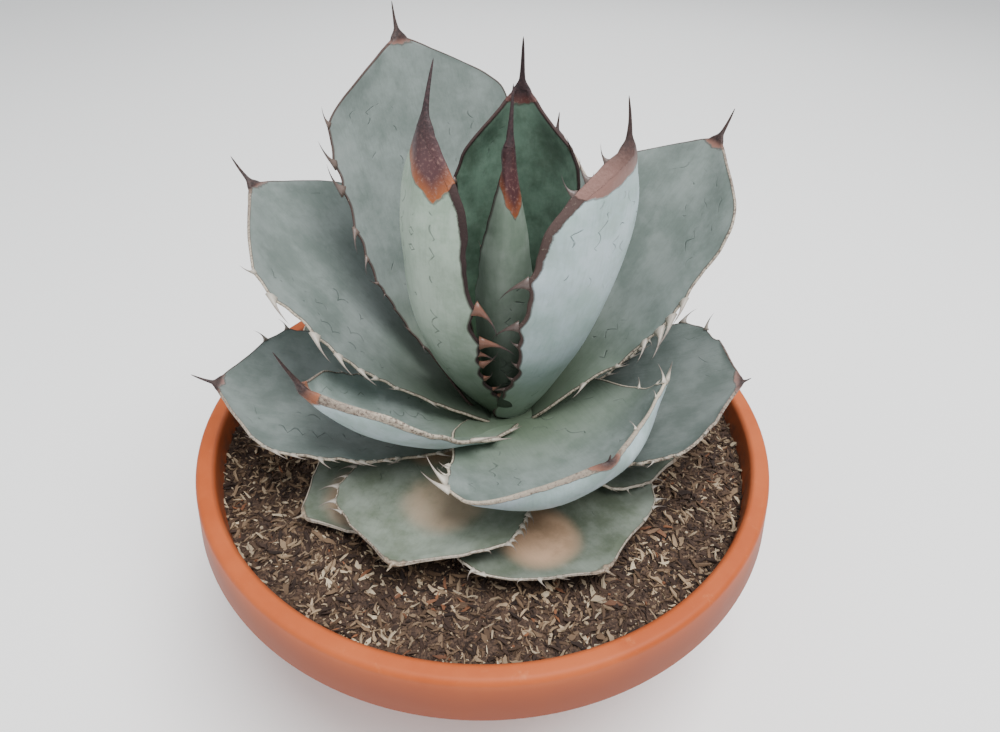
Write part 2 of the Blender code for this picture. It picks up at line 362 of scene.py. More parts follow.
def makeBowl():
    points = [(r, 0.0, h) for r, h in bowlProfile()]
    mesh = newMesh("bowlPot", points, [], [(i, i + 1) for i in range(len(points) - 1)])
    piece = addPiece("bowlPot", mesh, mouldedPlastic())
    spin = piece.modifiers.new("Spin", "SCREW")
    spin.steps = bowl["steps"]
    spin.render_steps = bowl["steps"]
    spin.use_merge_vertices = True
    spin.merge_threshold = 0.00001
    spin.use_normal_calculate = True
    holes = bmesh.new()
    for i in range(bowl["drainHoles"]):
        turn = 2 * math.pi * (i + 0.5) / bowl["drainHoles"]
        place = Vector((math.cos(turn), math.sin(turn), 0)) * bowl["drainCircle"]
        bmesh.ops.create_cone(holes, cap_ends=True, segments=32, depth=0.03, radius1=bowl["drainRadius"],
                              radius2=bowl["drainRadius"], matrix=Matrix.Translation(place))
    cutMesh = bpy.data.meshes.new("drainCutters")
    holes.to_mesh(cutMesh)
    holes.free()
    cutter = addPiece("drainCutters", cutMesh)
    cut = piece.modifiers.new("Drain", "BOOLEAN")
    cut.object = cutter
    cut.solver = "EXACT"
    plainMesh(piece, "bowlPot")
    bpy.data.objects.remove(cutter)
    fixed = bmesh.new()
    fixed.from_mesh(piece.data)
    bmesh.ops.remove_doubles(fixed, verts=fixed.verts, dist=1e-6)
    bmesh.ops.recalc_face_normals(fixed, faces=fixed.faces)
    fixed.to_mesh(piece.data)
    fixed.free()
    piece.data.shade_smooth()
    piece.data.set_sharp_from_angle(angle=math.radians(38))
    inside = []
    for v in piece.data.vertices:
        gap = bowlRadius(v.co.z, bowl["wall"] / 2) - math.hypot(v.co.x, v.co.y)
        inside.append(float(gap > 0 and v.co.z > bowl["floor"] / 2))
    setValues(piece.data, "inside", inside)
    return piece


pot = makeBowl()
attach(pot, "root")
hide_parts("pot")
print("pot: %d faces" % len(pot.data.polygons))


# Agave leaves: each one grows over the shape of its CAD leaf

leafMesh = {
    "ringPoints": 12,        # points round each CAD ring
    "upperShare": 0.35,      # how much of the thickness is above the middle surface
    "columns": 46,           # across the blade
    "step": 1.7 * mm,        # along the blade
    "spineSteps": 18,
    "footReach": 9 * mm,     # how far the foot runs on into the stem
    "footShare": 0.52,       # width of the foot as a share of the widest part
    "footWrap": 30 * mm,     # radius that the foot curls round the stem with
    "footCurl": 16 * mm,     # the most that it curls
    "footWidening": 1.3,     # the most that it widens by
    "tipPinch": 0.12,        # narrowing just before the spine
    "toothGap": 0.035,       # least share of the length between two teeth
    "toothWander": 0.012,
    "toothSink": 1.2 * mm,
    "toothLift": 0.1,        # how far the teeth lean towards the upper face
    "outlineReach": 7,       # rows over which the outline is evened
    "edgeThickness": 1.5 * mm,
    "wave": 1.5 * mm,        # unevenness of the blade near its margins
    "spineRadius": 2.5 * mm,
}


def edge(teeth, first, last, tooth, pale, cork=(0.5, 0.5, 0.6), hooks=(), lean=0.25):
    # one margin: ordinary teeth between two shares of the length, corky border widths in
    # millimetres at foot, middle and tip, and single hooks as (share, length, lean)
    return {"teeth": teeth, "first": first, "last": last, "tooth": tooth, "pale": pale, "cork": cork,
            "hooks": hooks, "lean": lean}


def habit(skin, both=None, **values):
    # a leaf's skin and margins; wedge is its dark tip in millimetres, its light level scales its colour
    # as painted light and shade, ember warms its horn, and patches are burnt ones as (share of the length,
    # share across, mm, strength)
    return {"skin": skin, "wedgeSide": 0, "ember": 0, "patches": (), "reach": 1.0, "spine": 1.0,
            "left": both, "right": both, **values}


leafLooks = {
    "leaf_01": habit("heart", reach=0.0, tone=0.6, dim=0.58, wedge=24, wedgeSide=0.1, ember=0.5,
        both=edge(2, 0.5, 0.66, 3, 0.2)),
    "leaf_02": habit("heart", tone=0.3, dim=1.45, wedge=4, ember=0.1,
        left=edge(3, 0.4, 0.6, 6, 0.1, (0.4, 0.6, 1.0), ((0.76, 9, -0.6),)),
        right=edge(3, 0.35, 0.6, 6, 0.05, (0.4, 0.6, 1.0), ((0.87, 8, 0.9), (0.7, 9, 0.3)))),
    "leaf_03": habit("bloom", tone=0.8, dim=1.12, wedge=15, wedgeSide=-0.75,
        left=edge(4, 0.3, 0.66, 8, 0.15, (0.4, 0.4, 0.8)),
        right=edge(4, 0.14, 0.38, 10, 0.1, (0.7, 2.0, 7.0), (
            (0.64, 17, -0.3), (0.47, 16, -0.4), (0.9, 10, 0.5), (0.94, 10, 0.7), (0.975, 8, 0.8)))),
    "leaf_04": habit("heart", tone=1.0, dim=0.92, wedge=22, wedgeSide=0.45, ember=0.7,
        left=edge(7, 0.12, 0.4, 10, 0.05, (0.5, 1.2, 5.0), (
            (0.58, 19, -0.7), (0.45, 20, -0.2), (0.34, 14, 0.2))),
        right=edge(5, 0.2, 0.5, 7, 0.1, (0.4, 0.4, 0.6))),
    "leaf_05": habit("bloom", tone=0.35, dim=0.9, wedge=2, ember=0.1,
        left=edge(7, 0.25, 0.75, 8, 0.9, (0.4, 0.99, 0.99)),
        right=edge(7, 0.25, 0.8, 9, 0.9, (0.4, 1.12, 0.99), ((0.84, 9, 0.2),))),
    "leaf_06": habit("bloom", tone=0.55, dim=0.78, wedge=2, ember=0.1,
        left=edge(5, 0.2, 0.42, 6, 0.15, (0.4, 0.45, 0.4), (
            (0.82, 9, 0.9), (0.73, 14, 0.9), (0.655, 15, 1.0), (0.55, 12, -0.8), (0.48, 9, -0.6))),
        right=edge(6, 0.25, 0.55, 8, 0.2, (0.4, 0.45, 0.5), ((0.68, 9, 0.9), (0.6, 10, 0.6)))),
    "leaf_07": habit("bloom", tone=0.3, dim=0.92, wedge=2, ember=0.15,
        left=edge(6, 0.2, 0.55, 7, 0.3, (0.4, 0.4, 0.45), ((0.66, 6, 0.5),)),
        right=edge(3, 0.2, 0.36, 9, 0.7, (0.45, 0.6, 0.7), (
            (0.56, 15, -0.6), (0.5, 18, -0.7), (0.44, 18, -0.4), (0.38, 13, -0.3)))),
    "leaf_08": habit("bloom", spine=0.35, tone=0.2, dim=0.92, wedge=2, ember=0.3,
        left=edge(7, 0.3, 0.9, 6, 0.95, (0.5, 1.2, 3.4), ((0.6, 13, 0.4), (0.7, 10, 0.2))),
        right=edge(4, 0.3, 0.46, 9, 0.9, (0.6, 1.2, 5.0), ((0.56, 17, -0.2), (0.5, 16, -0.1)))),
    "leaf_09": habit("bloom", tone=0.35, dim=0.78, wedge=1, ember=0.05,
        left=edge(3, 0.2, 0.34, 8, 0.8, (0.4, 0.5, 0.5), (
            (0.82, 9, 0.3), (0.73, 16, -0.8), (0.57, 16, -0.8), (0.48, 13, -0.7), (0.4, 12, -0.6))),
        right=edge(6, 0.25, 0.62, 8, 0.2, (0.4, 0.4, 0.4), ((0.74, 12, 0.6), (0.66, 13, -0.6)))),
    "leaf_10": habit("bloom", tone=0.4, dim=1.25, wedge=6, ember=0.7,
        left=edge(3, 0.12, 0.3, 14, 0.75, (0.6, 2.6, 8.0), lean=-0.8),
        right=edge(5, 0.3, 0.7, 5, 0.6, (0.5, 0.6, 1.2))),
    "leaf_11": habit("bloom", tone=0.1, dim=0.58, wedge=2,
        left=edge(5, 0.2, 0.6, 8, 0.4, (0.5, 0.6, 0.5), ((0.74, 12, 0.5), (0.84, 11, 0.5), (0.66, 9, 0.0))),
        right=edge(10, 0.3, 0.85, 8, 0.7, (0.6, 1.2, 1.0))),
    "leaf_12": habit("bloom", tone=0.2, dim=0.72, wedge=1,
        left=edge(17, 0.2, 0.84, 9, 0.8, (0.5, 0.7, 0.6), lean=-0.3),
        right=edge(6, 0.25, 0.66, 7, 0.3, (0.4, 0.4, 0.4), ((0.88, 9, 0.9), (0.8, 8, 0.5)))),
    "leaf_13": habit("bloom", tone=0.35, dim=0.8, wedge=3, ember=0.3,
        both=edge(8, 0.25, 0.7, 7, 0.6)),
    "leaf_14": habit("bloom", tone=0.2, dim=0.85, wedge=2, ember=0.2,
        both=edge(8, 0.25, 0.7, 7, 0.8, (0.5, 0.87, 0.6))),
    "leaf_15": habit("old", tone=0.7, dim=0.95, wedge=0,
        patches=((0.55, 0.1, 26, 0.55), (0.2, -0.5, 18, 0.8)),
        left=edge(14, 0.3, 0.86, 9, 0.8, (0.5, 0.6, 0.6), lean=0.3),
        right=edge(8, 0.3, 0.85, 10, 0.6, (0.4, 0.5, 0.5))),
    "leaf_16": habit("old", tone=0.1, dim=0.85, wedge=0, patches=((0.62, -0.25, 22, 1.0),),
        left=edge(10, 0.3, 0.85, 9, 0.7, (0.4, 0.5, 0.5)),
        right=edge(14, 0.3, 0.92, 9, 0.8, (0.5, 0.6, 0.5))),
    "leaf_17": habit("old", tone=0.8, dim=0.9, wedge=1, patches=((0.6, 0.3, 22, 0.5),),
        both=edge(9, 0.3, 0.75, 6, 0.8, (0.5, 0.87, 0.6))),
    "leaf_18": habit("old", tone=0.4, dim=0.85, wedge=0,
        both=edge(6, 0.3, 0.8, 5, 0.9, (0.6, 0.99, 0.99))),
    "leaf_19": habit("old", tone=0.2, dim=0.9, wedge=0, patches=((0.7, 0.2, 24, 0.7),),
        left=edge(4, 0.3, 0.7, 5, 0.9, (0.6, 0.99, 1.12)),
        right=edge(6, 0.3, 0.8, 5, 0.9, (0.6, 0.99, 1.12))),
    "leaf_20": habit("old", tone=0.5, dim=0.9, wedge=0, patches=((0.5, -0.3, 20, 0.6),),
        both=edge(8, 0.3, 0.8, 6, 0.8, (0.5, 0.87, 0.87))),
}


def readRings(node):
    # the CAD leaf is rings of points between a pole at its tip and one in its foot
    mesh = bmesh.new()
    mesh.from_mesh(frame["nodes"][node].data)
    bmesh.ops.remove_doubles(mesh, verts=mesh.verts, dist=1e-6)
    crown = Vector((stemMiddle.x, stemMiddle.y, soilTop))
    poles = [v for v in mesh.verts if len(v.link_edges) == leafMesh["ringPoints"]]
    tip = max(poles, key=lambda v: (v.co - crown).length)
    rings = []
    seen = {tip}
    level = {e.other_vert(tip) for e in tip.link_edges}
    while len(level) == leafMesh["ringPoints"]:
        walk = [next(iter(level))]
        while len(walk) < len(level):
            for e in walk[-1].link_edges:
                other = e.other_vert(walk[-1])
                onSide = any(v not in level for f in e.link_faces for v in f.verts)
                if other in level and other not in walk and onSide:
                    walk.append(other)
                    break
        rings.append(np.array([v.co[:] for v in walk]))
        seen |= level
        level = {e.other_vert(v) for v in level for e in v.link_edges} - seen
    tipPoint = np.array(tip.co[:])
    mesh.free()
    return rings[::-1], tipPoint


def alignRings(rings):
    # every ring starts at the left margin and goes over the upper face first
    count = leafMesh["ringPoints"]
    start = len(rings) // 2
    ring = rings[start]
    centre = ring.mean(0)
    outward = unit(np.array([centre[0] - stemMiddle.x, centre[1] - stemMiddle.y, 0.0]))
    left = np.cross([0, 0, 1], outward)
    far = np.linalg.norm(ring[:, None] - ring[None], axis=2)
    a, b = np.unravel_index(far.argmax(), far.shape)
    a, b = (a, b) if (ring[a] - ring[b]) @ left > 0 else (b, a)
    ring = np.roll(ring, -a, axis=0)
    upper = ring[1:6].mean(0) - ring[7:12].mean(0)
    if upper @ (np.array([0, 0, 1.0]) - outward) < 0:
        ring = np.roll(ring[::-1], 1, axis=0)
    aligned = {start: ring}

    def form(ring):
        ring = ring - ring.mean(0)
        return ring / np.abs(ring).max()

    def match(model, ring):
        trials = [np.roll(turned, i, axis=0) for turned in (ring, ring[::-1]) for i in range(count)]
        return min(trials, key=lambda trial: ((form(trial) - form(model)) ** 2).sum())

    for step, end in ((1, len(rings)), (-1, -1)):
        for i in range(start + step, end, step):
            aligned[i] = match(aligned[i - step], rings[i])
    return np.array([aligned[i] for i in range(len(rings))])


def splineWeights(places, count, loop=False):
    # Catmull-Rom weights of each of count knots at each place
    table = np.zeros((len(places), count))
    for row, place in enumerate(places):
        knot = int(math.floor(place)) if loop else int(min(max(math.floor(place), 0), count - 2))
        f = place - knot
        if not loop and (f < 0 or f > 1):
            table[row, knot] += 1 - f
            table[row, knot + 1] += f
            continue
        weights = [-0.5 * f + f * f - 0.5 * f ** 3, 1 - 2.5 * f * f + 1.5 * f ** 3,
                   0.5 * f + 2 * f * f - 1.5 * f ** 3, -0.5 * f * f + 0.5 * f ** 3]
        for shift, weight in zip((-1, 0, 1, 2), weights):
            at = knot + shift
            if loop:
                table[row, at % count] += weight
            elif at < 0:
                table[row, 0] += 2 * weight
                table[row, 1] -= weight
            elif at > count - 1:
                table[row, count - 1] += 2 * weight
                table[row, count - 2] -= weight
            else:
                table[row, at] += weight
    return table


def acrossPlaces():
    # -1 at the right margin to 1 at the left, closer together at both
    half = leafMesh["columns"] // 2
    inner = np.linspace(0.0, 0.965, half)
    side = np.concatenate([inner, [0.985, 0.995, 1.0]])
    return np.concatenate([-side[:0:-1], side])


def marginTeeth(look, rand):
    # (share of the length, length, lean, paleness) of each tooth on one margin
    teeth = [(share, size * mm, lean, look["pale"]) for share, size, lean in look["hooks"]]
    for place in np.linspace(look["first"], look["last"], look["teeth"]):
        place = place + rand.normal() * leafMesh["toothWander"]
        if all(abs(place - tooth[0]) > leafMesh["toothGap"] for tooth in teeth):
            size = look["tooth"] * mm * rand.uniform(0.55, 1.15)
            teeth.append((place, size, look["lean"] + rand.normal() * 0.35, look["pale"]))
    return sorted(teeth)


def turnOutwards(mesh):
    fixed = bmesh.new()
    fixed.from_mesh(mesh)
    if fixed.calc_volume(signed=True) < 0:
        bmesh.ops.reverse_faces(fixed, faces=fixed.faces)
    fixed.to_mesh(mesh)
    fixed.free()


def growLeaf(node, look, seed):
    # the leaf's mesh and the seats of its teeth
    rand = np.random.default_rng(seed)
    rings, tip = readRings(node)
    rings = alignRings(rings)
    bladeRings = len(rings) - 2
    middles = rings.mean(1)
    spacing = np.linalg.norm(middles[1:bladeRings] - middles[:bladeRings - 1], axis=1)
    bladeLength = spacing.sum()
    rows = int(bladeLength / leafMesh["step"])
    footShare = leafMesh["footReach"] * look["reach"] / bladeLength
    shares = np.linspace(-footShare, 1.0, rows)
    across = acrossPlaces()
    alongTable = splineWeights(shares * (bladeRings - 1), bladeRings)
    angles = np.arccos(np.clip(across, -1, 1)) / (2 * math.pi) * leafMesh["ringPoints"]
    upper, lower = [
        np.einsum("sk,kjc,pj->spc", alongTable, rings[:bladeRings],
                  splineWeights(turned, leafMesh["ringPoints"], loop=True)) for turned in (angles, -angles)]
    keep = leafMesh["upperShare"]
    sheet = upper * (1 - keep) + lower * keep
    middle = len(across) // 2
    thick = np.linalg.norm(upper[:, middle] - lower[:, middle], axis=1)
    widths = np.linalg.norm(np.diff(sheet, axis=1), axis=2).sum(1)
    half = np.maximum(widths / 2, 1e-4)

    # the foot widens and clasps the stem
    broad = half.max() * (leafMesh["footShare"] + (1 - leafMesh["footShare"]) * smoothStep(shares / 0.5))
    clasp = np.clip(broad / half, 1.0, 1.0 + leafMesh["footWidening"] * look["reach"])
    spine = sheet[:, middle][:, None]
    sheet = spine + (sheet - spine) * clasp[:, None, None]
    half = half * clasp
    outward = unit((middles[bladeRings // 3] - np.array(stemMiddle)) * (1, 1, 0))
    curl = (across[None] * half[:, None]) ** 2 / (2 * leafMesh["footWrap"])
    curl = curl * (1 - smoothStep(shares / 0.3))[:, None]
    sheet = sheet - outward * np.minimum(curl, leafMesh["footCurl"])[..., None]
    thick = thick * (1 + 0.8 * smoothStep((0.25 - shares) / 0.3))

    # drawn in towards the spine
    reach = leafMesh["outlineReach"]
    bell = np.exp(-np.arange(-3 * reach, 3 * reach + 1) ** 2 / (2 * reach ** 2))
    padded = np.pad(half, 3 * reach, mode="reflect", reflect_type="odd")
    even = np.convolve(padded, bell / bell.sum(), mode="valid")
    draw = np.clip(even / half, 0.7, 1.05)
    pinched = smoothStep((shares - 0.80) / 0.15) * (1 - smoothStep((shares - 0.96) / 0.04))
    draw = draw * (1 - leafMesh["tipPinch"] * pinched)
    sheet = spine + (sheet - spine) * draw[:, None, None]
    half = half * draw

    teeth = {}
    offEdge = (1 - np.abs(across))[None] * half[:, None]
    sides = {"left": (1, -1, unit(sheet[:, -1] - sheet[:, -6])),
             "right": (-1, 0, unit(sheet[:, 0] - sheet[:, 5]))}
    nearEdge = smoothStep((np.abs(across) - 0.62) / 0.38) ** 1.4
    corkWidth, paleEdge, wave = np.zeros((3, *sheet.shape[:2]))
    for side, (sign, column, out) in sides.items():
        margin = look[side]
        teeth[side] = marginTeeth(margin, rand)
        ragged = [noise.noise(Vector((share * bladeLength * 140, seed * 3.1, sign))) for share in shares]
        bump = np.array(ragged) * 0.7 * mm * smoothStep((0.97 - shares) / 0.1)
        for place, size, lean, pale in teeth[side]:
            reach = (3.2 * mm + size * 0.42) / bladeLength
            rise = np.clip(1 - np.abs(shares - place) / reach, 0, 1)
            bump += (0.16 * size + 0.5 * mm) * rise ** 1.7
        here = across * sign > 0
        sheet = sheet + out[:, None] * (bump[:, None] * (nearEdge * here)[None])[..., None]
        taper = np.interp(np.clip(shares, 0, 1) ** 1.6, (0.0, 0.5, 1.0), np.array(margin["cork"]) * mm)
        corkWidth += taper[:, None] * here[None]
        paleEdge += margin["pale"] * here[None]
    corkWidth[:, middle] = corkWidth[:, middle - 1]

    # surface normal and soft waves
    normal = unit(np.cross(*np.gradient(sheet, axis=(0, 1))))
    if ((upper - lower)[:, middle] * normal[:, middle]).sum() < 0:
        normal = -normal
    for i in range(rows):
        for j in range(len(across)):
            p = sheet[i, j]
            wave[i, j] = noise.noise(Vector((p[0] * 34, p[1] * 34, p[2] * 34 + seed))) * 0.7
            slow = noise.noise(Vector((shares[i] * 9, across[j] * 1.2, seed * 2.7)))
            wave[i, j] += slow * abs(across[j]) ** 2
    folds = np.sin(across * 7.0 + seed)[None] * smoothStep((shares - 0.35) / 0.4)[:, None] * 0.35
    wave += folds * (1 - across[None] ** 4)
    calm = smoothStep(shares / 0.25) * smoothStep((1.0 - shares) / 0.12)
    sheet = sheet + normal * (wave * leafMesh["wave"] * calm[:, None])[..., None]

    # thickness: full in the middle, thin and rounded at the margins
    rim = leafMesh["edgeThickness"]
    flat = np.minimum(thick, rim)[:, None]
    full = flat + (thick[:, None] - flat) * (1 - across[None] ** 2) ** 0.8
    rounding = np.clip(offEdge / (flat * 0.5), 0, 1)
    full = full * np.sqrt(np.clip(1 - (1 - rounding) ** 2, 0, 1))
    top = sheet + normal * (full * keep)[..., None]
    under = sheet - normal * (full * (1 - keep))[..., None]

    # one closed ring of points per row: over the upper face from left to right, back below
    def around(above, below):
        return np.concatenate([above[:, ::-1], below[:, 1:-1]], axis=1)

    blade = around(top, under)
    points = blade.shape[1]
    face = np.concatenate([np.ones(len(across)), np.zeros(len(across) - 2)])
    face[0] = face[len(across) - 1] = 0.5
    ones = np.ones((rows, points))
    fields = {
        "edge": around(offEdge, offEdge),
        "cork": around(corkWidth, corkWidth),
        "bleached": around(paleEdge, paleEdge),
        "fromTip": ((1 - shares) * bladeLength)[:, None] * ones,
        "across": around(across[None], across[None]) * ones,
        "share": shares[:, None] * ones,
        "face": face * ones,
        "half": half[:, None] * ones,
    }

    # terminal spine: the blade's last ring closes to a round and runs out to a point
    knots = np.concatenate([middles[bladeRings - 1:], tip[None]])
    knots = knots[0] + (knots - knots[0]) * look["spine"]
    steps = leafMesh["spineSteps"]
    sharesOut = (np.arange(1, steps) / steps) ** 0.85
    line = splineWeights(sharesOut * (len(knots) - 1), len(knots)) @ knots
    line += (blade[-1].mean(0) - knots[0]) * (1 - sharesOut[:, None])
    lastRing = blade[-1] - blade[-1].mean(0)
    ahead = knots[-1] - knots[0]
    spineLength = np.linalg.norm(np.diff(knots, axis=0), axis=1).sum()
    ahead = unit(ahead)
    sideways = lastRing[0] - lastRing[points // 2]
    sideways = unit(sideways - ahead * (sideways @ ahead))
    upward = np.cross(ahead, sideways)
    if upward @ normal[-1, middle] < 0:
        upward = -upward
    over = np.linspace(0, math.pi, len(across))
    turnAngles = np.concatenate([over, math.pi + over[1:-1]])
    base = leafMesh["spineRadius"] * (0.45 + 0.55 * min(spineLength / (25 * mm), 1.2))
    spineRows = []
    for share, centre in zip(sharesOut, line):
        radius = base * (1 - share) ** 0.9 * (1 - 0.35 * math.sin(share * math.pi)) + 0.12 * mm
        circle = np.cos(turnAngles)[:, None] * sideways + np.sin(turnAngles)[:, None] * upward * 0.85
        settle = float(smoothStep(share / 0.3))
        spineRows.append(centre + circle * radius * settle + lastRing * (1 - settle) * (1 - share))
    vertices = np.concatenate([*blade, *spineRows, [blade[0].mean(0)], [knots[-1]]])
    ends = len(spineRows)
    fills = {"edge": 0.0, "cork": 0.0, "share": 1.0, "half": 2 * mm}
    for name in ("edge", "cork", "bleached", "across", "share", "face", "half"):
        row = np.full(points, fills[name]) if name in fills else fields[name][-1]
        fields[name] = np.concatenate([fields[name], np.repeat(row[None], ends, axis=0)])
    pastTip = -(sharesOut * spineLength)[:, None] * np.ones(points)
    fields["fromTip"] = np.concatenate([fields["fromTip"], pastTip])

    total = rows + ends
    faces = lattice(total, points)
    footPole, tipPole = total * points, total * points + 1
    for j in range(points):
        k = (j + 1) % points
        faces.append((footPole, k, j))
        faces.append((tipPole, (total - 1) * points + j, (total - 1) * points + k))
    mesh = newMesh(node.replace("leaf_", "agaveLeaf"), vertices.tolist(), faces)
    turnOutwards(mesh)
    mesh.shade_smooth()
    patches = np.zeros(total * points)
    plan = fields["share"] * bladeLength
    aside = fields["across"] * fields["half"]
    for share, place, size, strength in look["patches"]:
        away = np.hypot(plan - share * bladeLength, aside - place * half.max()).reshape(-1) / (size * mm)
        patches = np.maximum(patches, strength * smoothStep(1.5 - away))
    fields["patch"] = patches
    for name, scale in (("wedge", mm), ("wedgeSide", 1), ("tone", 1), ("dim", 1), ("ember", 1)):
        fields[name] = np.full(total * points, look[name] * scale)
    for name, values in fields.items():
        flatValues = values.reshape(-1)
        ended = np.concatenate([flatValues, [flatValues[0], flatValues[-1]]]).astype(np.float32)
        setValues(mesh, name, ended)

    # where the teeth stand
    seats = []
    sink = leafMesh["toothSink"]
    for side, (sign, column, out) in sides.items():
        for place, size, lean, pale in teeth[side]:
            i = int(np.clip(round((place + footShare) / (1 + footShare) * (rows - 1)), 2, rows - 3))
            along = unit(sheet[i + 1, column] - sheet[i - 1, column])
            lift = leafMesh["toothLift"] + rand.normal() * 0.12
            aim = unit(out[i] + along * lean * 0.8 + normal[i, column] * lift)
            seats.append({"place": sheet[i, column] - out[i] * sink, "aim": aim, "pale": pale,
                          "along": along * (1 if lean >= 0 else -1), "length": size + sink,
                          "ember": look["ember"] * 0.7})
    return mesh, seats


# Leaf skin

skins = {
    "heart": {"upper": "2C3E31", "upperAlt": "4C6254", "lower": "7F9380", "lowerAlt": "A3B3A4",
              "base": "3A5636", "cork": "2A1C1B", "corkPale": "6B4D3E", "line": "2A1815", "bloom": "A9B6A9",
              "horn": "1E1416", "hornAlt": "3A2729", "rust": "4A2E30", "footShade": 0.35},
    "bloom": {"upper": "68746E", "upperAlt": "838D89", "lower": "A9B9BF", "lowerAlt": "8EA39F",
              "base": "68795F", "cork": "4A3A36", "corkPale": "B9AE9C", "line": "36241D", "bloom": "AAB5B4",
              "horn": "221718", "hornAlt": "43302C", "rust": "806058", "footShade": 0.12},
    "old": {"upper": "5A6353", "upperAlt": "7B8378", "lower": "838F80", "lowerAlt": "717E72",
            "base": "6A7656", "cork": "7A6A58", "corkPale": "CFC7B6", "line": "44362B", "bloom": "8D958A",
            "horn": "5E4A3C", "hornAlt": "A89A86", "rust": "8A7460", "footShade": 0.0},
}


def leafSkin(name, skin):
    # agave cuticle: waxy grey bloom over green, fine lengthwise veins, faint prints of the bud's
    # neighbouring leaves, a corky border and a horny dark spine with a reddish foot
    material, tree, shader = newMaterial(name)
    where = ownPlace(tree)
    margin, cork, bleached, fromTip, across, share, face, wide, tone, patch, wedge, ember, dim = [
        attribute(tree, n) for n in ("edge", "cork", "bleached", "fromTip", "across", "share", "face",
                                     "half", "tone", "patch", "wedge", "ember", "dim")]
    plan = addNode(tree, "ShaderNodeCombineXYZ", {
        0: times(across, wide), 1: times(fromTip, 0.12), 2: times(tone, 3.0)}).outputs[0]
    cloud = grain(where, 26 * mm, 5.0, 0.66)
    fine = grain(where, 5 * mm, 5.0, 0.7)
    veins = grain(plan, 1.3 * mm, 2.0, 0.5)

    upper = blend(ease(cloud, 0.35, 0.68), skin["upper"], skin["upperAlt"])
    lower = blend(ease(cloud, 0.32, 0.66), skin["lower"], skin["lowerAlt"])
    colour = blend(ease(face, 0.35, 0.65), lower, upper)
    toneShift = scaled(tone, 0.5, -0.1, clamp=True)
    colour = blend(times(toneShift, ease(fine, 0.2, 0.8)), colour, skin["bloom"])
    colour = blend(times(ease(share, 0.5, 0.02), 0.75), colour, skin["base"])
    colour = blend(times(ease(veins, 0.45, 0.75), 0.10), colour, "3C4C44")
    speck = ease(grain(where, 1.6 * mm, 2.0), 0.7, 0.78)
    colour = blend(times(speck, 0.22), colour, "4D5048")

    # prints left by the neighbours in the bud: scalloped lines set in from the margin
    wander = scaled(grain(plan, 16 * mm, 2.0), 16 * mm, -8 * mm)
    scallop = maths("ABSOLUTE", maths("SINE", times(fromTip, 0.38 / mm)))
    prints = []
    for inset, depth in ((12 * mm, 3 * mm), (24 * mm, 4 * mm), (38 * mm, 3 * mm)):
        path = plus(scaled(scallop, depth, inset), wander)
        prints.append(ease(maths("ABSOLUTE", minus(margin, path)), 0.6 * mm, 0.12 * mm))
    prints = maths("MAXIMUM", maths("MAXIMUM", prints[0], prints[1]), prints[2])
    broken = times(ease(grain(where, 9 * mm, 2.0), 0.52, 0.58), ease(grain(where, 55 * mm, 1.0), 0.44, 0.56))
    prints = times(times(prints, broken), ease(fromTip, 6 * mm, 30 * mm))
    colour = blend(times(prints, 0.6), colour, "3C4842")

    # painted light and shade: each leaf's colour scaled by its own light level, darker towards the foot as
    # painted shade in the heart
    level = minus(dim, times(ease(share, 0.75, 0.1), skin["footShade"]))
    grey = addNode(tree, "ShaderNodeCombineColor", {0: level, 1: level, 2: level}).outputs[0]
    colour = blend(1.0, colour, grey, "MULTIPLY")

    # sunburnt blotches on the old leaves
    blotch = ease(scaled(cloud, 0.7, minus(patch, 0.6)), -0.1, 0.75)
    tan = blend(ease(cloud, 0.4, 0.6), "C4A184", "A98B70")
    colour = blend(times(blotch, ease(patch, 0.0, 0.5)), colour, tan)

    # corky border with a fine brown line along its inside
    fray = times(scaled(fine, 3.4 * mm, -1.7 * mm), ease(cork, 0.8 * mm, 3.5 * mm))
    inside = minus(plus(margin, fray), cork)
    border = ease(inside, 0.25 * mm, -0.15 * mm)
    borderLine = times(ease(inside, 0.9 * mm, 0.2 * mm), minus(1.0, border))
    crumbs = grain(where, 1.4 * mm, 3.0, 0.7)
    paleness = scaled(bleached, 0.5, minus(crumbs, 0.42))
    corkColour = blend(ease(paleness, 0.22, 0.58), skin["cork"], skin["corkPale"])
    corkColour = blend(times(ease(fromTip, 36 * mm, 4 * mm), 0.45), corkColour, "4E3B38")
    colour = blend(times(borderLine, 0.75), colour, skin["line"])
    colour = blend(border, colour, corkColour)

    # horny wedge below the spine, then the spine itself
    aside = maths("ABSOLUTE", minus(across, attribute(tree, "wedgeSide")))
    reach = times(wedge, scaled(aside, -0.75, 1.2))
    ragged = scaled(grain(where, 6 * mm, 3.0), 7 * mm, -3.5 * mm)
    past = minus(plus(fromTip, ragged), reach)
    horn = ease(past, 0.6 * mm, -0.4 * mm)
    hornLine = times(ease(past, 1.4 * mm, 0.2 * mm), minus(1.0, horn))
    dark = blend(ease(crumbs, 0.3, 0.7), skin["horn"], skin["hornAlt"])
    lowFringe = ease(minus(fromTip, reach), -9 * mm, 1 * mm)
    rust = blend(times(ember, lowFringe), skin["rust"], "A05A2C")
    rust = blend(times(ease(crumbs, 0.5, 0.72), 0.6), rust, "8A6A62")
    rusting = ease(maths("DIVIDE", fromTip, plus(wedge, 2 * mm)), -0.35, 0.55)
    colour = blend(times(hornLine, 0.7), colour, skin["line"])
    colour = blend(horn, colour, blend(rusting, dark, rust))

    rough = scaled(horn, -0.16, scaled(border, 0.3, scaled(fine, 0.14, 0.46)))
    height = minus(scaled(veins, 0.35, times(fine, 0.35)), times(prints, 1.1))
    height = scaled(border, scaled(crumbs, 1.6, 0.5), height)
    plug(shader, {"Base Color": colour, "Roughness": rough, "IOR": 1.42,
                  "Normal": relief(height, 0.6, 0.5 * mm)})
    return material


